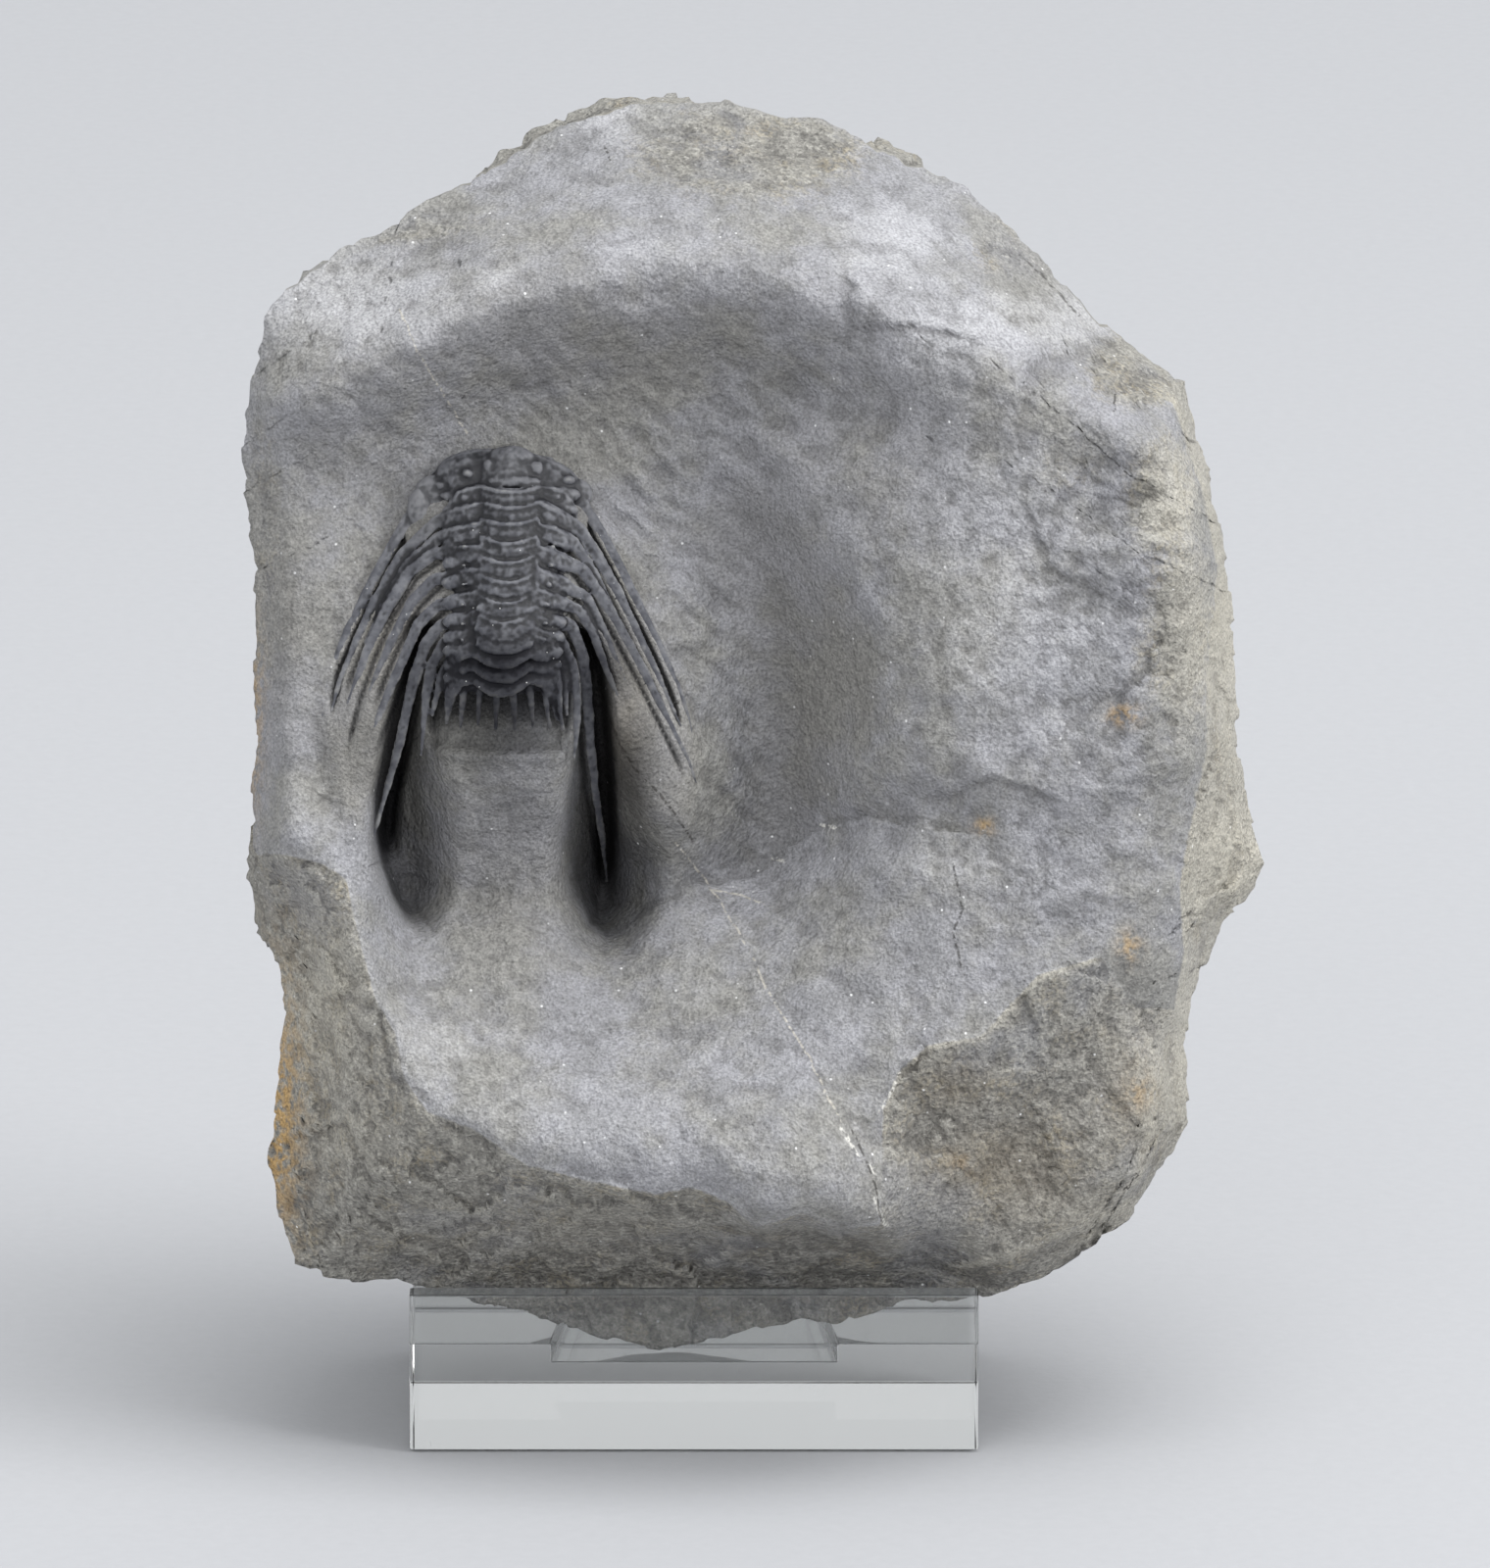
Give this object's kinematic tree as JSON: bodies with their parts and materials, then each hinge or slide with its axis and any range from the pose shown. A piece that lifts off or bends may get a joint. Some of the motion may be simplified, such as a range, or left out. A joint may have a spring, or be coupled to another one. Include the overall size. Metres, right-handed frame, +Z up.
{
  "type": "fossil leonaspis trilobite",
  "caption": "Spiny arched trilobite fossil excavated in the bowl of a rough grey limestone block, standing upright in the channel of a small clear block stand.",
  "frame": {"origin": "centre of the stand's flat underside", "axes": "+Z up, the fossil's side faces -Y, +X to the right as seen from the front"},
  "size_m": [0.1084, 0.0795, 0.1379],
  "materials": {
    "limestone": "matte, granular where broken, powdery where prepared",
    "fossil_shell": "satin, dark blue-grey",
    "clear_acrylic": "clear, polished"
  },
  "bodies": {
    "root": {"matrix": "limestone", "trilobite": "fossil_shell", "stand": "clear_acrylic"}
  },
  "joints": []
}
